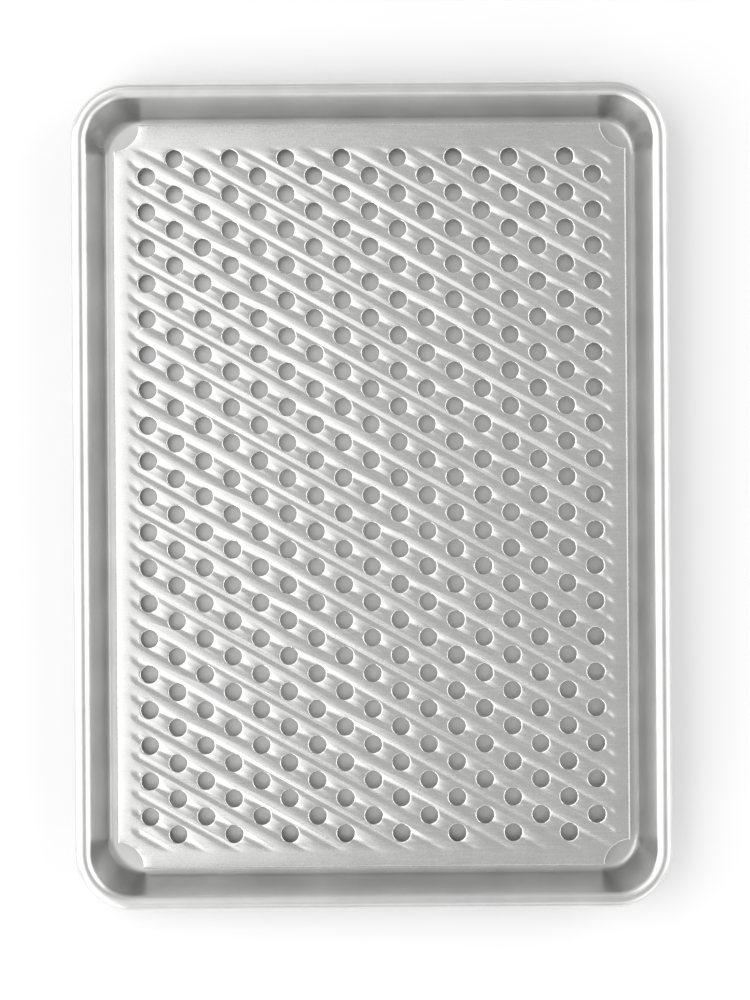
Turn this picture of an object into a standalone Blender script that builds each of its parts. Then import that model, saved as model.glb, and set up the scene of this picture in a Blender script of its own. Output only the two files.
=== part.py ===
"""Rimmed aluminium baking pan with a lift-out perforated insert.

Three separate pieces: a drawn sheet pan whose rim is curled over a steel
wire, the wire itself, and a perforated sheet that stands in the pan on its
turned-down edges.  Metres, +Z up.  X runs across the pan, Y along it, and the
origin is on the surface that the pan stands on, under the pan's centre.
"""

import bmesh
import bpy
from math import asin, atan2, cos, hypot, pi, radians, sin, sqrt, tan

# ---------------------------------------------------------------------------
# Driving dimensions
# ---------------------------------------------------------------------------

OBJECT_NAME = "perforated_baking_tray"

# Sheet pan, a half-size baking sheet.
PAN_WIDTH = 0.330             # across X, outside the rim
PAN_LENGTH = 0.457            # along Y, outside the rim
PAN_HEIGHT = 0.0254           # underside to the top of the rim
PAN_SHEET = 0.0010            # thickness of the aluminium
RIM_CORNER_RADIUS = 0.0320    # plan radius of the rim's outer edge
FLOOR_CORNER_RADIUS = 0.020   # plan radius where the wall meets the floor
FLOOR_INSET = 0.0167          # from a side's outer edge to that meeting line
END_WALL_EXTRA_RUN = 0.0014   # how much further in the end walls meet the floor
FLOOR_BEND_RADIUS = 0.0035    # inside bend between floor and wall
CURL_RADIUS = 0.0045          # outside radius of the rolled rim's section
CURL_END_ANGLE = radians(-135)  # where the curled edge stops, short of the wall

# Reinforcing wire inside the curl.
WIRE_RADIUS = 0.0030
WIRE_JOINT_GAP = 0.0010       # between the wire's two butted ends

# Perforated insert.
INSERT_WIDTH = 0.285          # across X, outside the turned-down edges
INSERT_LENGTH = 0.413         # along Y, outside the turned-down edges
INSERT_SHEET = 0.0008         # thickness of the aluminium
INSERT_HEIGHT = 0.0125        # pan floor to the insert's top face
INSERT_FOLD_RADIUS = 0.0012   # outside bend along each turned-down edge
INSERT_FLOOR_GAP = 0.0003     # under the turned-down edges
NOTCH_RADIUS = 0.0145         # quarter-round notch at each corner
HOLE_DIAMETER = 0.0097
COLUMN_PITCH = 0.0155         # across X
ROW_PITCH = 0.01975           # along Y, neighbouring columns half a pitch apart
COLUMN_COUNT = 17
ROWS_IN_OUTER_COLUMN = 19     # every second column holds one more

# Faceting.
CORNER_SEGMENTS = 8           # each plan corner of the pan
BEND_SEGMENTS = 3             # floor bend
CURL_STEP = radians(22.5)     # rolled rim
NOTCH_SEGMENTS = 8
FOLD_SEGMENTS = 2
HOLE_SIDES = 8


# ---------------------------------------------------------------------------
# Scene, materials and mesh helpers
# ---------------------------------------------------------------------------

def clear_scene():
    for old in list(bpy.data.objects):
        bpy.data.objects.remove(old, do_unlink=True)


def make_collection(name):
    collection = bpy.data.collections.new(name)
    bpy.context.scene.collection.children.link(collection)
    return collection


def metal(name, colour, roughness):
    material = bpy.data.materials.new(name)
    material.use_nodes = True
    shader = material.node_tree.nodes["Principled BSDF"]
    shader.inputs["Base Color"].default_value = (*colour, 1.0)
    shader.inputs["Metallic"].default_value = 1.0
    shader.inputs["Roughness"].default_value = roughness
    return material


def mesh_object(name, bm, material, collection):
    """Turn a bmesh into a named, smooth-shaded object."""
    mesh = bpy.data.meshes.new(name)
    bm.to_mesh(mesh)
    bm.free()
    mesh.materials.append(material)
    mesh.shade_smooth()
    mesh.set_sharp_from_angle(angle=radians(35))
    piece = bpy.data.objects.new(name, mesh)
    collection.objects.link(piece)
    return piece


def thicken(piece, thickness):
    """Give an open sheet its thickness, behind the face it was drawn as."""
    solidify = piece.modifiers.new("sheet_thickness", "SOLIDIFY")
    solidify.thickness = thickness
    solidify.offset = -1.0
    solidify.use_even_offset = True


def rounded_rectangle(half_x, half_y, radius):
    """Plan points of a rounded rectangle, anticlockwise from the +X side."""
    points = []
    for quarter, (side_x, side_y) in enumerate(((1, 1), (-1, 1), (-1, -1), (1, -1))):
        for step in range(CORNER_SEGMENTS + 1):
            angle = (quarter + step / CORNER_SEGMENTS) * pi / 2
            points.append((
                side_x * (half_x - radius) + radius * cos(angle),
                side_y * (half_y - radius) + radius * sin(angle),
            ))
    return points


# ---------------------------------------------------------------------------
# Sheet pan
# ---------------------------------------------------------------------------

def wall_lean():
    """Angle of the wall from upright: its line from the floor touches the curl."""
    across = FLOOR_INSET - CURL_RADIUS
    up = PAN_HEIGHT - CURL_RADIUS - PAN_SHEET
    return atan2(across, up) - asin(CURL_RADIUS / hypot(across, up))


def pan_section(lean):
    """Upper face of the sheet as (inset from the outer edge, height) points."""
    turn = pi / 2 - lean
    setback = FLOOR_BEND_RADIUS * tan(turn / 2)
    section = []
    for step in range(BEND_SEGMENTS + 1):
        angle = turn * step / BEND_SEGMENTS
        section.append((
            FLOOR_INSET + setback - FLOOR_BEND_RADIUS * sin(angle),
            PAN_SHEET + FLOOR_BEND_RADIUS * (1 - cos(angle)),
        ))
    steps_back = int((pi - lean - CURL_END_ANGLE) / CURL_STEP)
    curl_angles = [CURL_END_ANGLE + step * CURL_STEP for step in range(steps_back, -1, -1)]
    for angle in [pi - lean, *curl_angles]:
        section.append((
            CURL_RADIUS - CURL_RADIUS * cos(angle),
            PAN_HEIGHT - CURL_RADIUS + CURL_RADIUS * sin(angle),
        ))
    return section


def plan_outline(inset, lean):
    """Rounded rectangle at an inset: concentric in the rim, easing to the floor's."""
    opening_inset = CURL_RADIUS * (1 + cos(lean))
    down = max(0.0, (inset - opening_inset) / (FLOOR_INSET - opening_inset))
    opening_radius = RIM_CORNER_RADIUS - opening_inset
    concentric = RIM_CORNER_RADIUS - min(inset, opening_inset)
    radius = concentric + down * (FLOOR_CORNER_RADIUS - opening_radius)
    end_inset = inset + down * END_WALL_EXTRA_RUN
    return rounded_rectangle(PAN_WIDTH / 2 - inset, PAN_LENGTH / 2 - end_inset, radius)


def build_sheet_pan(collection, material):
    """Loft the floor, walls and curled rim through rounded rectangles."""
    bm = bmesh.new()
    lean = wall_lean()
    rings = []
    for inset, height in pan_section(lean):
        plan = plan_outline(inset, lean)
        rings.append([bm.verts.new((x, y, height)) for x, y in plan])
    bm.faces.new(rings[0])
    for inner, outer in zip(rings, rings[1:]):
        for here in range(len(inner)):
            there = (here + 1) % len(inner)
            bm.faces.new((inner[here], outer[here], outer[there], inner[there]))
    pan = mesh_object("sheet_pan", bm, material, collection)
    thicken(pan, PAN_SHEET)
    return pan


# ---------------------------------------------------------------------------
# Rim wire
# ---------------------------------------------------------------------------

def build_rim_wire(collection, material):
    """One bent wire round the rim, its ends butted in the middle of a long side."""
    plan = rounded_rectangle(
        PAN_WIDTH / 2 - CURL_RADIUS,
        PAN_LENGTH / 2 - CURL_RADIUS,
        RIM_CORNER_RADIUS - CURL_RADIUS,
    )
    side_x = PAN_WIDTH / 2 - CURL_RADIUS
    route = [(side_x, WIRE_JOINT_GAP / 2), *plan, (side_x, -WIRE_JOINT_GAP / 2)]
    curve = bpy.data.curves.new("rim_wire", "CURVE")
    curve.dimensions = "3D"
    curve.bevel_depth = WIRE_RADIUS
    curve.bevel_resolution = 2
    curve.use_fill_caps = True
    spline = curve.splines.new("POLY")
    spline.points.add(len(route) - 1)
    for point, (x, y) in zip(spline.points, route):
        point.co = (x, y, 0.0, 1.0)
    curve.materials.append(material)
    wire = bpy.data.objects.new("rim_wire", curve)
    wire.location.z = PAN_HEIGHT - CURL_RADIUS
    collection.objects.link(wire)
    return wire


# ---------------------------------------------------------------------------
# Perforated insert
# ---------------------------------------------------------------------------

def insert_outline():
    """Plan outline of the flat sheet: straight sides, a round notch per corner."""
    half_x = INSERT_WIDTH / 2
    half_y = INSERT_LENGTH / 2
    first = asin(INSERT_FOLD_RADIUS / NOTCH_RADIUS)
    last = pi / 2 - first
    outline = []
    for side_x, side_y in ((1, 1), (-1, 1), (-1, -1), (1, -1)):
        notch = []
        for step in range(NOTCH_SEGMENTS + 1):
            angle = first + (last - first) * step / NOTCH_SEGMENTS
            notch.append((
                side_x * (half_x - NOTCH_RADIUS * sin(angle)),
                side_y * (half_y - NOTCH_RADIUS * cos(angle)),
            ))
        outline += notch if side_x == side_y else notch[::-1]
    return outline


def hole_centres():
    """Staggered grid, centred on the insert."""
    centres = []
    for column in range(COLUMN_COUNT):
        rows = ROWS_IN_OUTER_COLUMN + column % 2
        for row in range(rows):
            centres.append((
                (column - (COLUMN_COUNT - 1) / 2) * COLUMN_PITCH,
                (row - (rows - 1) / 2) * ROW_PITCH,
            ))
    return centres


def hole_outline(centre_x, centre_y):
    """Polygon with the area of the round hole."""
    wedge = 2 * pi / HOLE_SIDES
    radius = HOLE_DIAMETER / 2 * sqrt(wedge / sin(wedge))
    return [
        (centre_x + radius * cos(side * wedge), centre_y + radius * sin(side * wedge))
        for side in range(HOLE_SIDES)
    ]


def perforated_sheet():
    """Flat face with its holes, from a filled 2D curve."""
    curve = bpy.data.curves.new("perforated_outline", "CURVE")
    curve.dimensions = "2D"
    curve.fill_mode = "BOTH"
    for outline in [insert_outline(), *(hole_outline(x, y) for x, y in hole_centres())]:
        spline = curve.splines.new("POLY")
        spline.use_cyclic_u = True
        spline.points.add(len(outline) - 1)
        for point, (x, y) in zip(spline.points, outline):
            point.co = (x, y, 0.0, 1.0)
    guide = bpy.data.objects.new("perforated_outline", curve)
    bpy.context.scene.collection.objects.link(guide)
    graph = bpy.context.evaluated_depsgraph_get()
    mesh = bpy.data.meshes.new_from_object(guide.evaluated_get(graph))
    bm = bmesh.new()
    bm.from_mesh(mesh)
    bmesh.ops.remove_doubles(bm, verts=bm.verts, dist=1e-6)
    inner_edges = [edge for edge in bm.edges if not edge.is_boundary]
    bmesh.ops.beautify_fill(bm, faces=bm.faces, edges=inner_edges, method="ANGLE")
    bpy.data.objects.remove(guide, do_unlink=True)
    bpy.data.meshes.remove(mesh)
    return bm


def turn_down_side(bm, along_x, side, drop):
    """Fold one straight side of the flat sheet down to a standing edge."""
    across = 0 if along_x else 1
    half = (INSERT_WIDTH if along_x else INSERT_LENGTH) / 2
    flat_end = half - INSERT_FOLD_RADIUS
    edges = [
        edge for edge in bm.edges
        if edge.is_boundary and all(
            abs(side * vert.co[across] - flat_end) < 1e-5 for vert in edge.verts)
    ]
    stations = []
    for step in range(1, FOLD_SEGMENTS + 1):
        angle = pi / 2 * step / FOLD_SEGMENTS
        stations.append((
            flat_end + INSERT_FOLD_RADIUS * sin(angle),
            -INSERT_FOLD_RADIUS * (1 - cos(angle)),
        ))
    stations.append((half, -drop))
    for offset, height in stations:
        extruded = bmesh.ops.extrude_edge_only(bm, edges=edges)["geom"]
        for vert in extruded:
            if isinstance(vert, bmesh.types.BMVert):
                vert.co[across] = side * offset
                vert.co.z = height
        edges = [part for part in extruded if isinstance(part, bmesh.types.BMEdge)]


def build_insert(collection, material):
    """Perforated sheet standing on its four turned-down edges."""
    bm = perforated_sheet()
    drop = INSERT_HEIGHT - INSERT_FLOOR_GAP
    for side in (1, -1):
        turn_down_side(bm, True, side, drop)
        turn_down_side(bm, False, side, drop)
    bmesh.ops.recalc_face_normals(bm, faces=bm.faces)
    insert = mesh_object("perforated_insert", bm, material, collection)
    thicken(insert, INSERT_SHEET)
    return insert


def main():
    clear_scene()
    parts = make_collection(OBJECT_NAME)
    pan_metal = metal("pan_aluminium", (0.80, 0.80, 0.79), 0.38)
    insert_metal = metal("insert_aluminium", (0.84, 0.84, 0.83), 0.32)
    wire_metal = metal("galvanised_steel", (0.55, 0.56, 0.57), 0.50)

    build_sheet_pan(parts, pan_metal)
    build_rim_wire(parts, wire_metal)

    insert_axis = bpy.data.objects.new("insert_lift_axis", None)
    insert_axis.location.z = PAN_SHEET + INSERT_HEIGHT
    parts.objects.link(insert_axis)
    insert = build_insert(parts, insert_metal)
    insert.parent = insert_axis


if __name__ == "__main__":
    main()
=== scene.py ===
"""Looks for a rimmed baking pan with a lift-out ribbed and perforated insert.

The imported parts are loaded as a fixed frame.  Each piece is then made again
as a fine mesh on the same dimensions, and finished in natural aluminium.
"""

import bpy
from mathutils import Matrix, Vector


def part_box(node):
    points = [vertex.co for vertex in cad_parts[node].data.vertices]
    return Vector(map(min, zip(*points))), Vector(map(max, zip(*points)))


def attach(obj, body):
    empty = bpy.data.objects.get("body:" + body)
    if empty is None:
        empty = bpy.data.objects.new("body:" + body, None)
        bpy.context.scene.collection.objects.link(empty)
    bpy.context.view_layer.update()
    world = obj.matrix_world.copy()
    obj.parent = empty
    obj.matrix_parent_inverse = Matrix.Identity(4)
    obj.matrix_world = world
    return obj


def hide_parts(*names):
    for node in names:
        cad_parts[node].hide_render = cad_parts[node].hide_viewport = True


bl_info = {
    "name": "Perforated Baking Tray",
    "version": (1, 0, 0),
    "blender": (4, 5, 0),
    "location": "View3D > Sidebar > Baking Tray",
    "description": "Builds a rimmed baking pan and its ribbed, perforated insert",
    "category": "Add Mesh",
}

from math import asin, atan2, ceil, cos, hypot, pi, radians, sin, tan

import bpy
import numpy as np
from bpy.props import FloatProperty, FloatVectorProperty, IntProperty, PointerProperty
from mathutils import Vector
from mathutils.geometry import delaunay_2d_cdt

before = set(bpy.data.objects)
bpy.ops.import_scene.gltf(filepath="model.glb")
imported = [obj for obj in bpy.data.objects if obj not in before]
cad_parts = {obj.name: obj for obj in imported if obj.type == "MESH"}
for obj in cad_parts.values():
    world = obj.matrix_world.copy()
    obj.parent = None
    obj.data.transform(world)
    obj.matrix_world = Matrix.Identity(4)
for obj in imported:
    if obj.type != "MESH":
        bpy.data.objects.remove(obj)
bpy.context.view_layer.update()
PAN_LOW, PAN_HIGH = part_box("sheet_pan")
INSERT_LOW, INSERT_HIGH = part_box("perforated_insert")
WIRE_LOW, WIRE_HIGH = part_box("rim_wire")


# ---------------------------------------------------------------------------
# Sizes and finishes a user would change
# ---------------------------------------------------------------------------

class PanSizes(bpy.types.PropertyGroup):
    """Sizes of the drawn pan that its outer box doesn't give."""

    sheet: FloatProperty(
        name="Sheet", description="Thickness of the pan's aluminium",
        default=0.0010, min=0.0004, max=0.003, unit="LENGTH")
    rim_corner: FloatProperty(
        name="Rim Corner", description="Plan radius of the rim's outer edge",
        default=0.0320, min=0.02, max=0.06, unit="LENGTH")
    floor_corner: FloatProperty(
        name="Floor Corner", description="Plan radius where wall and floor meet",
        default=0.0200, min=0.01, max=0.05, unit="LENGTH")
    floor_inset: FloatProperty(
        name="Floor Inset", description="Outer edge of a side to the foot of its wall",
        default=0.0167, min=0.012, max=0.03, unit="LENGTH")
    end_extra_run: FloatProperty(
        name="End Wall Extra", description="How much further in an end wall's foot lies",
        default=0.0014, min=0.0, max=0.005, unit="LENGTH")
    floor_bend: FloatProperty(
        name="Floor Bend", description="Inside radius between floor and wall",
        default=0.0035, min=0.001, max=0.006, unit="LENGTH")
    curl_radius: FloatProperty(
        name="Curl Radius", description="Outside radius of the rolled rim's section",
        default=0.0045, min=0.003, max=0.008, unit="LENGTH")


class InsertSizes(bpy.types.PropertyGroup):
    """Sizes of the ribbed, perforated insert."""

    sheet: FloatProperty(
        name="Sheet", description="Thickness of the insert's aluminium",
        default=0.0008, min=0.0004, max=0.002, unit="LENGTH")
    fold_radius: FloatProperty(
        name="Fold Radius", description="Outside radius of the turned-down edges",
        default=0.0012, min=0.0009, max=0.003, unit="LENGTH")
    notch_radius: FloatProperty(
        name="Corner Notch", description="Radius of the quarter-round corner notches",
        default=0.0145, min=0.008, max=0.025, unit="LENGTH")
    hole_diameter: FloatProperty(
        name="Hole", description="Diameter of the punched holes",
        default=0.0097, min=0.004, max=0.012, unit="LENGTH")
    column_pitch: FloatProperty(
        name="Column Pitch", description="Spacing of the hole columns across the tray",
        default=0.0155, min=0.013, max=0.03, unit="LENGTH")
    row_pitch: FloatProperty(
        name="Row Pitch", description="Spacing of the holes along a column",
        default=0.01975, min=0.013, max=0.03, unit="LENGTH")
    columns: IntProperty(
        name="Columns", description="Number of hole columns", default=17, min=3, max=17)
    rows: IntProperty(
        name="Rows", description="Holes in the outer columns; every second has one more",
        default=19, min=3, max=19)
    lip_width: FloatProperty(
        name="Hole Lip", description="Width of the rounded lip around each hole",
        default=0.0008, min=0.0002, max=0.0015, unit="LENGTH")
    lip_drop: FloatProperty(
        name="Lip Drop", description="How far the lip rolls down at the hole's edge",
        default=0.0005, min=0.0001, max=0.0007, unit="LENGTH")
    rib_pitch: FloatProperty(
        name="Rib Pitch", description="Spacing of the ribs, measured square across them",
        default=0.009235, min=0.006, max=0.02, unit="LENGTH")
    rib_phase: FloatProperty(
        name="Rib Phase", description="Distance of one groove's bottom from the tray's centre",
        default=0.00388, min=-0.01, max=0.01, unit="LENGTH")
    rib_angle: FloatProperty(
        name="Rib Angle", description="Slope of the ribs down towards the right",
        default=radians(29.4), min=0.0, max=radians(60), subtype="ANGLE")
    groove_width: FloatProperty(
        name="Groove Width", description="Width of the grooves between the flat ribs",
        default=0.0053, min=0.001, max=0.02, unit="LENGTH")
    groove_depth: FloatProperty(
        name="Groove Depth", description="Depth of the grooves between the flat ribs",
        default=0.0006, min=0.0, max=0.002, unit="LENGTH")
    margin_sides: FloatProperty(
        name="Side Margin", description="Flat margin left at each side of the ribs",
        default=0.0074, min=0.004, max=0.02, unit="LENGTH")
    margin_far: FloatProperty(
        name="Far Margin", description="Flat margin left at the +Y end of the ribs",
        default=0.0118, min=0.004, max=0.03, unit="LENGTH")
    margin_near: FloatProperty(
        name="Near Margin", description="Flat margin left at the -Y end of the ribs",
        default=0.0080, min=0.004, max=0.03, unit="LENGTH")
    rib_fade: FloatProperty(
        name="Rib Fade", description="Length over which a rib rises at its ends",
        default=0.0055, min=0.001, max=0.02, unit="LENGTH")


class MetalFinish(bpy.types.PropertyGroup):
    """Colours and gloss of the metals."""

    pan_colour: FloatVectorProperty(
        name="Pan", description="Natural aluminium of the pan",
        subtype="COLOR", default=(0.83, 0.83, 0.825), min=0.0, max=1.0)
    insert_colour: FloatVectorProperty(
        name="Insert", description="Natural aluminium of the insert",
        subtype="COLOR", default=(0.87, 0.87, 0.865), min=0.0, max=1.0)
    wire_colour: FloatVectorProperty(
        name="Wire", description="Dull galvanised steel of the rim wire",
        subtype="COLOR", default=(0.55, 0.56, 0.57), min=0.0, max=1.0)
    pan_roughness: FloatProperty(
        name="Pan Roughness", description="Mean roughness of the pan",
        default=0.36, min=0.05, max=1.0, subtype="FACTOR")
    insert_roughness: FloatProperty(
        name="Insert Roughness", description="Mean roughness of the insert",
        default=0.25, min=0.05, max=1.0, subtype="FACTOR")


class StageSettings(bpy.types.PropertyGroup):
    """Camera and light."""

    camera_height: FloatProperty(
        name="Camera Height", description="Camera above the floor",
        default=1.6, min=0.5, max=4.0, unit="LENGTH")
    frame_height: FloatProperty(
        name="Frame Height", description="Length that fills the picture's height at the rim",
        default=0.5511, min=0.3, max=2.0, unit="LENGTH")
    camera_roll: FloatProperty(
        name="Camera Roll", description="Turn of the camera about its line of sight",
        default=radians(-0.40), min=radians(-5), max=radians(5), subtype="ANGLE")
    air_light: FloatProperty(
        name="Air Light", description="Even light from all round the stage",
        default=0.46, min=0.0, max=2.0)
    aim_x: FloatProperty(
        name="Aim X", description="Camera across the tray", default=0.0019, unit="LENGTH")
    aim_y: FloatProperty(
        name="Aim Y", description="Camera along the tray", default=-0.0026, unit="LENGTH")


# ---------------------------------------------------------------------------
# Mesh helpers
# ---------------------------------------------------------------------------

def add_piece(name, points, faces, sharp_angle):
    """Make a smooth-shaded mesh object from points and faces."""
    mesh = bpy.data.meshes.new(name)
    mesh.from_pydata([tuple(point) for point in points], [], faces)
    mesh.validate()
    mesh.shade_smooth()
    mesh.set_sharp_from_angle(angle=sharp_angle)
    piece = bpy.data.objects.new(name, mesh)
    bpy.context.scene.collection.objects.link(piece)
    return piece


def boundary_edges(faces):
    """Directed edges that only one face uses."""
    directed = set()
    for face in faces:
        for here, there in zip(face, face[1:] + face[:1]):
            directed.add((here, there))
    return [(a, b) for a, b in directed if (b, a) not in directed]


def close_sheet(upper, lower, faces):
    """Points and faces of a closed sheet between matching upper and lower points."""
    count = len(upper)
    points = np.vstack((upper, lower))
    under = [tuple(corner + count for corner in reversed(face)) for face in faces]
    rims = [(b, a, a + count, b + count) for a, b in boundary_edges(faces)]
    return points, list(faces) + under + rims


def rounded_rectangle(half_x, half_y, radius, corner_steps):
    """Plan points of a rounded rectangle, anticlockwise from the +X side."""
    points = []
    for quarter, (side_x, side_y) in enumerate(((1, 1), (-1, 1), (-1, -1), (1, -1))):
        for step in range(corner_steps + 1):
            angle = (quarter + step / corner_steps) * pi / 2
            points.append((
                side_x * (half_x - radius) + radius * cos(angle),
                side_y * (half_y - radius) + radius * sin(angle),
            ))
    return points


def subdivide_sides(points, spacing):
    """Add points along the long straight runs of a closed outline."""
    fine = []
    for here, there in zip(points, points[1:] + points[:1]):
        length = hypot(there[0] - here[0], there[1] - here[1])
        pieces = max(1, ceil(length / spacing))
        for step in range(pieces):
            share = step / pieces
            fine.append((
                here[0] + (there[0] - here[0]) * share,
                here[1] + (there[1] - here[1]) * share,
            ))
    return fine


# ---------------------------------------------------------------------------
# Drawn pan
# ---------------------------------------------------------------------------

PAN_CORNER_STEPS = 28
PAN_SIDE_SPACING = 0.012
BEND_STEPS = 8
WALL_STEPS = 4
CURL_STEP = radians(7.5)
CURL_END = radians(-135)
PAN_SHARP = radians(40)


def wall_lean(sizes):
    """Angle of the wall from upright: its line from the floor touches the curl."""
    across = sizes.floor_inset - sizes.curl_radius
    up = PAN_HIGH.z - sizes.curl_radius - PAN_LOW.z - sizes.sheet
    return atan2(across, up) - asin(sizes.curl_radius / hypot(across, up))


def pan_section(sizes, lean):
    """Upper face of the pan as (inset, height, outward normal) stations."""
    floor_top = PAN_LOW.z + sizes.sheet
    turn = pi / 2 - lean
    setback = sizes.floor_bend * tan(turn / 2)
    stations = []
    for step in range(BEND_STEPS + 1):
        angle = turn * step / BEND_STEPS
        stations.append((
            sizes.floor_inset + setback - sizes.floor_bend * sin(angle),
            floor_top + sizes.floor_bend * (1 - cos(angle)),
            angle + pi / 2,
        ))
    foot = stations[-1]
    curl_height = PAN_HIGH.z - sizes.curl_radius
    curl_start = pi - lean
    top = (
        sizes.curl_radius * (1 - cos(curl_start)),
        curl_height + sizes.curl_radius * sin(curl_start),
    )
    for step in range(1, WALL_STEPS):
        share = step / WALL_STEPS
        stations.append((
            foot[0] + (top[0] - foot[0]) * share,
            foot[1] + (top[1] - foot[1]) * share,
            curl_start,
        ))
    steps_back = int((curl_start - CURL_END) / CURL_STEP)
    for angle in [curl_start, *(CURL_END + CURL_STEP * k for k in range(steps_back, -1, -1))]:
        stations.append((
            sizes.curl_radius * (1 - cos(angle)),
            curl_height + sizes.curl_radius * sin(angle),
            angle,
        ))
    return stations


def pan_outline(sizes, lean, inset):
    """Rounded rectangle at an inset: concentric in the rim, easing to the floor's."""
    opening_inset = sizes.curl_radius * (1 + cos(lean))
    down = max(0.0, (inset - opening_inset) / (sizes.floor_inset - opening_inset))
    opening_radius = sizes.rim_corner - opening_inset
    concentric = sizes.rim_corner - min(inset, opening_inset)
    radius = concentric + down * (sizes.floor_corner - opening_radius)
    end_inset = inset + down * sizes.end_extra_run
    return rounded_rectangle(
        PAN_HIGH.x - inset, PAN_HIGH.y - end_inset, radius, PAN_CORNER_STEPS)


def even_sides(outline, side_steps):
    """Put the same number of points on each straight run of every ring."""
    corner = PAN_CORNER_STEPS + 1
    fine = []
    for quarter in range(4):
        arc = outline[quarter * corner:(quarter + 1) * corner]
        fine += arc
        here = arc[-1]
        there = outline[(quarter + 1) * corner % len(outline)]
        pieces = side_steps[quarter % 2]
        for step in range(1, pieces):
            share = step / pieces
            fine.append((
                here[0] + (there[0] - here[0]) * share,
                here[1] + (there[1] - here[1]) * share,
            ))
    return fine


def loft_pan(sizes):
    """Upper and lower points and faces of the pan's sheet, rim curled over."""
    lean = wall_lean(sizes)
    side_steps = (
        ceil(2 * PAN_HIGH.x / PAN_SIDE_SPACING),
        ceil(2 * PAN_HIGH.y / PAN_SIDE_SPACING),
    )
    upper = []
    lower = []
    faces = []
    rings = []
    for inset, height, normal in pan_section(sizes, lean):
        plan = even_sides(pan_outline(sizes, lean, inset), side_steps)
        under_inset = inset + sizes.sheet * cos(normal)
        under = even_sides(pan_outline(sizes, lean, under_inset), side_steps)
        start = len(upper)
        upper += [(x, y, height) for x, y in plan]
        lower += [(x, y, height - sizes.sheet * sin(normal)) for x, y in under]
        rings.append(range(start, start + len(plan)))
    faces.append(tuple(rings[0]))
    for inner, outer in zip(rings, rings[1:]):
        for here in range(len(inner)):
            there = (here + 1) % len(inner)
            faces.append((inner[here], outer[here], outer[there], inner[there]))
    return np.array(upper), np.array(lower), faces


class TRAY_OT_pan(bpy.types.Operator):
    """Make the drawn pan with its curled rim"""

    bl_idname = "baking_tray.pan"
    bl_label = "Drawn Pan"

    def execute(self, context):
        sizes = context.scene.tray_pan
        upper, lower, faces = loft_pan(sizes)
        points, all_faces = close_sheet(upper, lower, faces)
        pan = add_piece("drawn_pan", points, all_faces, PAN_SHARP)
        pan.data.materials.append(pan_metal(context.scene.tray_finish))
        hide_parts("sheet_pan")
        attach(pan, "pan")
        return {"FINISHED"}


# ---------------------------------------------------------------------------
# Rim wire
# ---------------------------------------------------------------------------

WIRE_BEVEL_STEPS = 6


class TRAY_OT_wire(bpy.types.Operator):
    """Make the wire that stiffens the rim, hidden in its curl"""

    bl_idname = "baking_tray.wire"
    bl_label = "Rim Wire"

    def execute(self, context):
        sizes = context.scene.tray_pan
        radius = (WIRE_HIGH.z - WIRE_LOW.z) / 2
        half_x = WIRE_HIGH.x - radius
        half_y = WIRE_HIGH.y - radius
        corner = sizes.rim_corner - sizes.curl_radius
        plan = rounded_rectangle(half_x, half_y, corner, PAN_CORNER_STEPS)
        half_gap = radius / 6
        curve = bpy.data.curves.new("rim_wire_rod", "CURVE")
        curve.dimensions = "3D"
        curve.bevel_depth = radius
        curve.bevel_resolution = WIRE_BEVEL_STEPS
        curve.use_fill_caps = True
        route = [(half_x, half_gap), *plan, (half_x, -half_gap)]
        spline = curve.splines.new("POLY")
        spline.points.add(len(route) - 1)
        for point, (x, y) in zip(spline.points, route):
            point.co = (x, y, 0.0, 1.0)
        curve.materials.append(wire_metal(context.scene.tray_finish))
        wire = bpy.data.objects.new("rim_wire_rod", curve)
        wire.location.z = (WIRE_HIGH.z + WIRE_LOW.z) / 2
        context.scene.collection.objects.link(wire)
        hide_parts("rim_wire")
        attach(wire, "pan")
        return {"FINISHED"}


# ---------------------------------------------------------------------------
# Ribbed insert
# ---------------------------------------------------------------------------

HOLE_STEPS = 32
NOTCH_STEPS = 20
FOLD_STEPS = 5
LIP_SHARES = (0.0, 0.15, 0.45, 1.0)
GROOVE_STEPS = 5
FADE_STEPS = 6
SIDE_SPACING = 0.006
LIP_FULLNESS = 0.995
FLANK_ROUNDING = 0.3
TOUCHING = 1e-6
MERGE_DISTANCE = 1e-8
INSERT_SHARP = radians(50)


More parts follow.
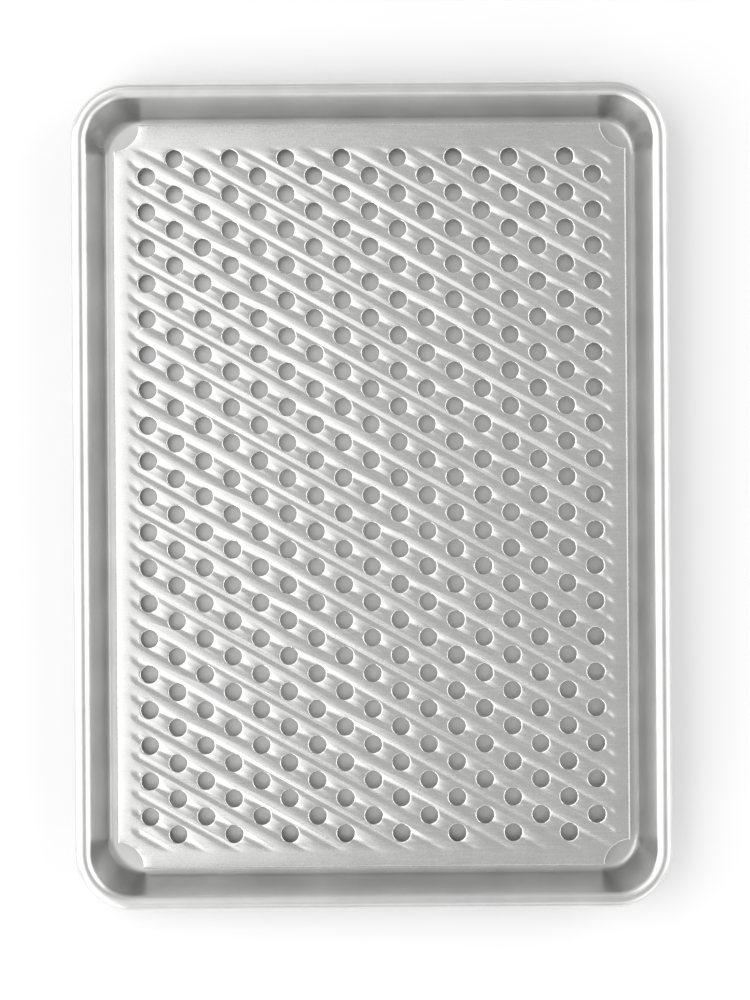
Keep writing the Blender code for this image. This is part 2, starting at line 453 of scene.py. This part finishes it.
class RibField:
    """Where the ribs lie and how deep the sheet is pressed at each point."""

    def __init__(self, sizes):
        self.sizes = sizes
        self.low_x = INSERT_LOW.x + sizes.margin_sides
        self.high_x = INSERT_HIGH.x - sizes.margin_sides
        self.low_y = INSERT_LOW.y + sizes.margin_near
        self.high_y = INSERT_HIGH.y - sizes.margin_far
        self.across = (sin(sizes.rib_angle), cos(sizes.rib_angle))

    def corners(self, inward):
        return [
            (self.low_x + inward, self.low_y + inward),
            (self.high_x - inward, self.low_y + inward),
            (self.high_x - inward, self.high_y - inward),
            (self.low_x + inward, self.high_y - inward),
        ]

    def line(self, distance):
        """The two ends of the rib line at a distance from the centre, or None."""
        across_x, across_y = self.across
        ends = []
        for x in (self.low_x, self.high_x):
            y = (distance - x * across_x) / across_y
            if self.low_y < y < self.high_y:
                ends.append((x, y))
        for y in (self.low_y, self.high_y):
            x = (distance - y * across_y) / across_x
            if self.low_x < x < self.high_x:
                ends.append((x, y))
        return ends if len(ends) == 2 else None

    def lines(self):
        """Lines along every groove's flanks, edge to edge of the field."""
        count = int(hypot(INSERT_HIGH.x, INSERT_HIGH.y) / self.sizes.rib_pitch) + 1
        step = self.sizes.groove_width / 2 / GROOVE_STEPS
        found = []
        for rib in range(-count, count + 1):
            for k in range(-GROOVE_STEPS, GROOVE_STEPS + 1):
                ends = self.line(self.sizes.rib_phase + rib * self.sizes.rib_pitch + k * step)
                if ends:
                    found.append(ends)
        return found

    def depth(self, x, y):
        """Depth below the flat margin at plan points, as an array."""
        pitch = self.sizes.rib_pitch
        along = x * self.across[0] + y * self.across[1] - self.sizes.rib_phase
        away = np.abs((along + pitch / 2) % pitch - pitch / 2)
        share = np.clip(1 - away / (self.sizes.groove_width / 2), 0.0, 1.0)
        rounded = share * share * (3 - 2 * share)
        flank = (1 - FLANK_ROUNDING) * share + FLANK_ROUNDING * rounded
        inside = np.minimum.reduce((
            x - self.low_x, self.high_x - x, y - self.low_y, self.high_y - y))
        fade = np.clip(inside / self.sizes.rib_fade, 0.0, 1.0)
        fade = fade * fade * (3 - 2 * fade)
        return self.sizes.groove_depth * flank * fade


def hole_centres(sizes):
    """Staggered grid of holes, centred on the insert."""
    centres = []
    for column in range(sizes.columns):
        rows = sizes.rows + column % 2
        for row in range(rows):
            centres.append((
                (column - (sizes.columns - 1) / 2) * sizes.column_pitch,
                (row - (rows - 1) / 2) * sizes.row_pitch,
            ))
    return np.array(centres)


def circle(centre, radius, steps):
    return [
        (centre[0] + radius * cos(2 * pi * k / steps), centre[1] + radius * sin(2 * pi * k / steps))
        for k in range(steps)
    ]


def notch_arc(sizes, side_x, side_y, radius, inset):
    """Quarter-round arc about an insert corner, between the two fold lines."""
    first = asin(inset / radius)
    arc = []
    for step in range(NOTCH_STEPS + 1):
        angle = first + (pi / 2 - 2 * first) * step / NOTCH_STEPS
        arc.append((
            side_x * (INSERT_HIGH.x - radius * sin(angle)),
            side_y * (INSERT_HIGH.y - radius * cos(angle)),
        ))
    return arc if side_x == side_y else arc[::-1]


def insert_outline(sizes):
    """Outline of the flat sheet inside its folds, anticlockwise."""
    outline = []
    for side_x, side_y in ((1, 1), (-1, 1), (-1, -1), (1, -1)):
        outline += notch_arc(sizes, side_x, side_y, sizes.notch_radius, sizes.fold_radius)
    return subdivide_sides(outline, SIDE_SPACING)


def lip_drop(sizes, distance):
    """How far the sheet rolls down at a distance outside a punched edge."""
    share = np.clip(1 - distance / sizes.lip_width, 0.0, 1.0)
    return sizes.lip_drop * (1 - np.sqrt(1 - share * share * LIP_FULLNESS))


def flat_triangles(sizes, field, centres):
    """Triangulate the perforated sheet along its ribs, lips, holes and outline."""
    points = []
    edges = []

    def add_run(run, closed):
        start = len(points)
        points.extend(Vector(point) for point in run)
        edges.extend((start + k, start + k + 1) for k in range(len(run) - 1))
        if closed:
            edges.append((start + len(run) - 1, start))

    add_run(insert_outline(sizes), True)
    for side_x in (1, -1):
        for side_y in (1, -1):
            for share in LIP_SHARES[1:]:
                radius = sizes.notch_radius + share * sizes.lip_width
                add_run(notch_arc(sizes, side_x, side_y, radius, sizes.fold_radius), False)
    hole_radius = sizes.hole_diameter / 2
    for centre in centres:
        for share in LIP_SHARES:
            add_run(circle(centre, hole_radius + share * sizes.lip_width, HOLE_STEPS), True)
    for step in range(FADE_STEPS + 1):
        add_run(field.corners(sizes.rib_fade * step / FADE_STEPS), True)
    for ends in field.lines():
        add_run(ends, False)

    made, _, triangles, *_ = delaunay_2d_cdt(points, edges, [], 1, MERGE_DISTANCE, False)
    plan = np.array([tuple(point) for point in made])
    triangles = np.array(triangles)
    middles = plan[triangles].mean(axis=1)
    open_radius = hole_radius * cos(pi / HOLE_STEPS) - TOUCHING
    solid = nearest_distance(middles, centres) > open_radius
    corners = np.abs(middles) - np.array((INSERT_HIGH.x, INSERT_HIGH.y))
    solid &= np.hypot(corners[:, 0], corners[:, 1]) > sizes.notch_radius * cos(pi / 4 / NOTCH_STEPS)
    return plan, triangles[solid]


def nearest_distance(places, centres):
    """Distance from each place to the nearest hole centre."""
    nearest = np.full(len(places), np.inf)
    for centre in centres:
        nearest = np.minimum(nearest, np.hypot(places[:, 0] - centre[0], places[:, 1] - centre[1]))
    return nearest


def turned_down_edges(sizes, upper, lower, faces):
    """Fold the straight sides down into standing edges, as extra strips."""
    half = (INSERT_HIGH.x, INSERT_HIGH.y)
    upper = [tuple(point) for point in upper]
    lower = [tuple(point) for point in lower]
    inner_radius = sizes.fold_radius - sizes.sheet
    stations = []
    for step in range(1, FOLD_STEPS + 1):
        angle = pi / 2 * step / FOLD_STEPS
        stations.append((
            (sizes.fold_radius * sin(angle), -sizes.fold_radius * (1 - cos(angle))),
            (inner_radius * sin(angle), -sizes.sheet - inner_radius * (1 - cos(angle))),
        ))
    drop = INSERT_LOW.z - INSERT_HIGH.z
    stations.append(((sizes.fold_radius, drop), (inner_radius, drop)))
    strips = []
    for across in (0, 1):
        for side in (1, -1):
            flat_end = half[across] - sizes.fold_radius
            run = [
                edge for edge in boundary_edges(faces)
                if all(abs(side * upper[end][across] - flat_end) < TOUCHING for end in edge)
            ]
            previous = {end: end for edge in run for end in edge}
            ends = sorted(previous)
            for outer, inner in stations:
                current = {}
                for end in ends:
                    for points, (offset, height) in ((upper, outer), (lower, inner)):
                        place = list(points[end])
                        place[across] = side * (flat_end + offset)
                        place[2] = INSERT_HIGH.z + height
                        points.append(tuple(place))
                    current[end] = len(upper) - 1
                strips += [
                    (previous[b], previous[a], current[a], current[b]) for a, b in run
                ]
                previous = current
    return np.array(upper), np.array(lower), list(faces) + strips


def press_insert(sizes):
    """Upper and lower points and faces of the insert."""
    field = RibField(sizes)
    centres = hole_centres(sizes)
    plan, triangles = flat_triangles(sizes, field, centres)
    x, y = plan[:, 0], plan[:, 1]
    depth = field.depth(x, y)
    from_hole = nearest_distance(plan, centres) - sizes.hole_diameter / 2
    from_notch = np.hypot(np.abs(x) - INSERT_HIGH.x, np.abs(y) - INSERT_HIGH.y) - sizes.notch_radius
    punched = lip_drop(sizes, np.minimum(from_hole, from_notch))
    top = INSERT_HIGH.z - depth
    upper = np.column_stack((x, y, top - punched))
    lower = np.column_stack((x, y, top - sizes.sheet))
    faces = [tuple(int(corner) for corner in triangle) for triangle in triangles]
    return turned_down_edges(sizes, upper, lower, faces)


class TRAY_OT_insert(bpy.types.Operator):
    """Make the ribbed, perforated insert on its turned-down edges"""

    bl_idname = "baking_tray.insert"
    bl_label = "Ribbed Insert"

    def execute(self, context):
        sizes = context.scene.tray_insert
        upper, lower, faces = press_insert(sizes)
        points, all_faces = close_sheet(upper, lower, faces)
        insert = add_piece("ribbed_insert", points, all_faces, INSERT_SHARP)
        insert.data.materials.append(insert_metal(context.scene.tray_finish, sizes.rib_angle))
        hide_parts("perforated_insert")
        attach(insert, "insert")
        return {"FINISHED"}


# ---------------------------------------------------------------------------
# Metals
# ---------------------------------------------------------------------------

class NodeBench:
    """Short calls for wiring a material's nodes."""

    def __init__(self, name):
        self.material = bpy.data.materials.new(name)
        self.material.use_nodes = True
        self.tree = self.material.node_tree
        self.shader = self.tree.nodes["Principled BSDF"]

    def node(self, kind, **values):
        made = self.tree.nodes.new(kind)
        for key, value in values.items():
            setattr(made, key, value)
        return made

    def link(self, out, into):
        self.tree.links.new(out, into)

    def place(self, scale, turn=0.0):
        """Object coordinates, turned about Z and stretched."""
        source = self.node("ShaderNodeTexCoord")
        mapping = self.node("ShaderNodeMapping")
        mapping.inputs["Rotation"].default_value = (0.0, 0.0, turn)
        mapping.inputs["Scale"].default_value = scale
        self.link(source.outputs["Object"], mapping.inputs["Vector"])
        return mapping.outputs["Vector"]

    def noise(self, place, scale, detail=3.0, rough=0.5):
        made = self.node("ShaderNodeTexNoise")
        made.inputs["Scale"].default_value = scale
        made.inputs["Detail"].default_value = detail
        made.inputs["Roughness"].default_value = rough
        self.link(place, made.inputs["Vector"])
        return made.outputs["Fac"]

    def remap(self, value, low, high, to_low, to_high):
        made = self.node("ShaderNodeMapRange")
        made.inputs["From Min"].default_value = low
        made.inputs["From Max"].default_value = high
        made.inputs["To Min"].default_value = to_low
        made.inputs["To Max"].default_value = to_high
        self.link(value, made.inputs["Value"])
        return made.outputs["Result"]

    def combine(self, operation, first, second):
        made = self.node("ShaderNodeMath", operation=operation)
        for socket, value in zip(made.inputs, (first, second)):
            if isinstance(value, (int, float)):
                socket.default_value = value
            else:
                self.link(value, socket)
        return made.outputs["Value"]

    def tint(self, colour, dark, value):
        """Colour that falls to a darker shade of itself as value goes to 0."""
        ramp = self.node("ShaderNodeValToRGB")
        ramp.color_ramp.elements[0].color = (*(c * dark for c in colour), 1.0)
        ramp.color_ramp.elements[1].color = (*colour, 1.0)
        self.link(value, ramp.inputs["Fac"])
        self.link(ramp.outputs["Color"], self.shader.inputs["Base Color"])

    def bump(self, height, distance, strength, after=None):
        made = self.node("ShaderNodeBump")
        made.inputs["Distance"].default_value = distance
        made.inputs["Strength"].default_value = strength
        self.link(height, made.inputs["Height"])
        if after is not None:
            self.link(after, made.inputs["Normal"])
        return made.outputs["Normal"]


def pan_metal(finish):
    """Natural drawn aluminium: fine mottling, soft waves and dull patches."""
    bench = NodeBench("drawn_aluminium")
    bench.shader.inputs["Metallic"].default_value = 1.0
    mottle = bench.noise(bench.place((1, 1, 1)), 900.0, 4.0, 0.6)
    cloud = bench.noise(bench.place((1, 1, 1)), 40.0, 3.0)
    bench.tint(finish.pan_colour, 0.86, bench.remap(cloud, 0.3, 0.7, 0.2, 1.0))
    rough = finish.pan_roughness
    bench.link(
        bench.remap(mottle, 0.3, 0.7, rough - 0.05, rough + 0.07),
        bench.shader.inputs["Roughness"])
    fine = bench.bump(mottle, 0.00002, 0.4)
    waves = bench.noise(bench.place((1, 1, 1)), 120.0, 2.0)
    bench.link(bench.bump(waves, 0.0002, 0.2, fine), bench.shader.inputs["Normal"])
    return bench.material


def insert_metal(finish, rib_angle):
    """Natural aluminium sheet: grain along the ribs, mottling and scuffs."""
    bench = NodeBench("pressed_aluminium")
    bench.shader.inputs["Metallic"].default_value = 1.0
    mottle = bench.noise(bench.place((1, 1, 1)), 700.0, 4.0, 0.6)
    cloud = bench.noise(bench.place((1, 1, 1)), 60.0, 3.0)
    bench.tint(finish.insert_colour, 0.9, bench.remap(cloud, 0.3, 0.7, 0.2, 1.0))
    grain = bench.noise(bench.place((0.12, 3.0, 1.0), rib_angle), 500.0, 2.0)
    rough = finish.insert_roughness
    bench.link(
        bench.remap(bench.combine("ADD", mottle, grain), 0.7, 1.3, rough - 0.05, rough + 0.07),
        bench.shader.inputs["Roughness"])
    fine = bench.bump(mottle, 0.00003, 0.5)
    lines = bench.bump(grain, 0.00004, 0.5, fine)
    bench.link(lines, bench.shader.inputs["Normal"])
    return bench.material


def wire_metal(finish):
    """Dull galvanised steel with a spangled tint."""
    bench = NodeBench("galvanised_wire")
    bench.shader.inputs["Metallic"].default_value = 1.0
    spangle = bench.noise(bench.place((1, 1, 1)), 400.0, 3.0)
    bench.tint(finish.wire_colour, 0.8, bench.remap(spangle, 0.3, 0.7, 0.0, 1.0))
    bench.link(bench.remap(spangle, 0.3, 0.7, 0.42, 0.6), bench.shader.inputs["Roughness"])
    bench.link(bench.bump(spangle, 0.00004, 0.4), bench.shader.inputs["Normal"])
    return bench.material


def floor_paint():
    """Plain white floor with the faintest mottling."""
    bench = NodeBench("pale_floor")
    bench.shader.inputs["Roughness"].default_value = 0.9
    cloud = bench.noise(bench.place((1, 1, 1)), 3.0, 2.0)
    bench.tint((0.96, 0.96, 0.96), 0.985, cloud)
    return bench.material


# ---------------------------------------------------------------------------
# Stage
# ---------------------------------------------------------------------------

SENSOR_WIDTH_MM = 36.0
FLOOR_REACH = 3.0
FLOOR_SHARP = radians(30)
CEILING = 1.7
WALL = 3.2


def add_camera(stage):
    """Camera looking straight down on the tray."""
    camera = bpy.data.cameras.new("overhead_camera")
    to_rim = stage.camera_height - PAN_HIGH.z
    camera.sensor_width = SENSOR_WIDTH_MM
    camera.lens = camera.sensor_width * to_rim / stage.frame_height
    holder = bpy.data.objects.new("overhead_camera", camera)
    holder.location = (stage.aim_x, stage.aim_y, stage.camera_height)
    holder.rotation_euler = (0.0, 0.0, stage.camera_roll)
    bpy.context.scene.collection.objects.link(holder)
    bpy.context.scene.camera = holder


def add_softbox(name, place, size, radiance):
    """Rectangular soft light that faces straight down."""
    light = bpy.data.lights.new(name, "AREA")
    light.shape = "RECTANGLE"
    light.size, light.size_y = size
    light.energy = pi * size[0] * size[1] * radiance
    holder = bpy.data.objects.new(name, light)
    holder.location = place
    bpy.context.scene.collection.objects.link(holder)
    return holder


def add_wall_light(name, place, size, radiance):
    """Upright soft light that faces the middle of the stage."""
    holder = add_softbox(name, place, size, radiance)
    outward = Vector((place[0], place[1], 0.0))
    holder.rotation_euler = outward.to_track_quat("Z", "Y").to_euler()


def add_world(strength):
    world = bpy.data.worlds.new("studio_air")
    world.use_nodes = True
    backdrop = world.node_tree.nodes["Background"]
    backdrop.inputs["Color"].default_value = (1.0, 1.0, 1.0, 1.0)
    backdrop.inputs["Strength"].default_value = strength
    bpy.context.scene.world = world


class TRAY_OT_stage(bpy.types.Operator):
    """Make the floor, the lights and the camera"""

    bl_idname = "baking_tray.stage"
    bl_label = "Stage"

    def execute(self, context):
        stage = context.scene.tray_stage
        reach = FLOOR_REACH
        corners = [(-reach, -reach, 0), (reach, -reach, 0), (reach, reach, 0), (-reach, reach, 0)]
        floor = add_piece("pale_floor", corners, [(0, 1, 2, 3)], FLOOR_SHARP)
        floor.location.z = PAN_LOW.z
        floor.data.materials.append(floor_paint())
        add_camera(stage)
        add_world(stage.air_light)
        add_softbox("key_softbox", (-1.9, 0.4, CEILING), (2.6, 5.0), 1.25)
        add_softbox("key_edge", (-0.375, 0.0, CEILING), (0.45, 1.4), 0.65)
        add_softbox("side_panel", (2.25, 0.0, CEILING), (1.9, 5.0), 0.7)
        add_softbox("far_panel", (0.2, 2.55, CEILING), (1.6, 1.3), 0.45)
        add_softbox("near_panel", (0.2, -2.4, CEILING), (1.6, 1.6), 0.6)
        add_wall_light("left_wall", (-WALL, 0.0, 0.9), (2.1, 1.6), 2.6)
        add_wall_light("near_left_wall", (-2.13, -WALL, 0.9), (2.1, 1.6), 3.4)
        add_wall_light("right_wall", (WALL, 0.6, 1.25), (4.8, 0.9), 3.6)
        add_wall_light("near_right_wall", (2.13, -WALL, 1.25), (2.1, 0.9), 2.4)
        context.scene.view_settings.view_transform = "Standard"
        return {"FINISHED"}


# ---------------------------------------------------------------------------
# Panel and registration
# ---------------------------------------------------------------------------

STEPS = (TRAY_OT_pan, TRAY_OT_wire, TRAY_OT_insert, TRAY_OT_stage)
GROUPS = {
    "tray_pan": PanSizes,
    "tray_insert": InsertSizes,
    "tray_finish": MetalFinish,
    "tray_stage": StageSettings,
}


class TRAY_PT_panel(bpy.types.Panel):
    """Buttons and sizes for the baking tray"""

    bl_idname = "TRAY_PT_panel"
    bl_label = "Baking Tray"
    bl_space_type = "VIEW_3D"
    bl_region_type = "UI"
    bl_category = "Baking Tray"

    def draw(self, context):
        for step in STEPS:
            self.layout.operator(step.bl_idname)
        for name, group in GROUPS.items():
            box = self.layout.box()
            settings = getattr(context.scene, name)
            for key in group.__annotations__:
                box.prop(settings, key)


CLASSES = (*GROUPS.values(), *STEPS, TRAY_PT_panel)


def register():
    for cls in CLASSES:
        bpy.utils.register_class(cls)
    for name, group in GROUPS.items():
        setattr(bpy.types.Scene, name, PointerProperty(type=group))


def unregister():
    for name in GROUPS:
        delattr(bpy.types.Scene, name)
    for cls in reversed(CLASSES):
        bpy.utils.unregister_class(cls)


def main():
    register()
    bpy.ops.baking_tray.stage()
    bpy.ops.baking_tray.pan()
    bpy.ops.baking_tray.wire()
    bpy.ops.baking_tray.insert()


if __name__ == "__main__":
    main()
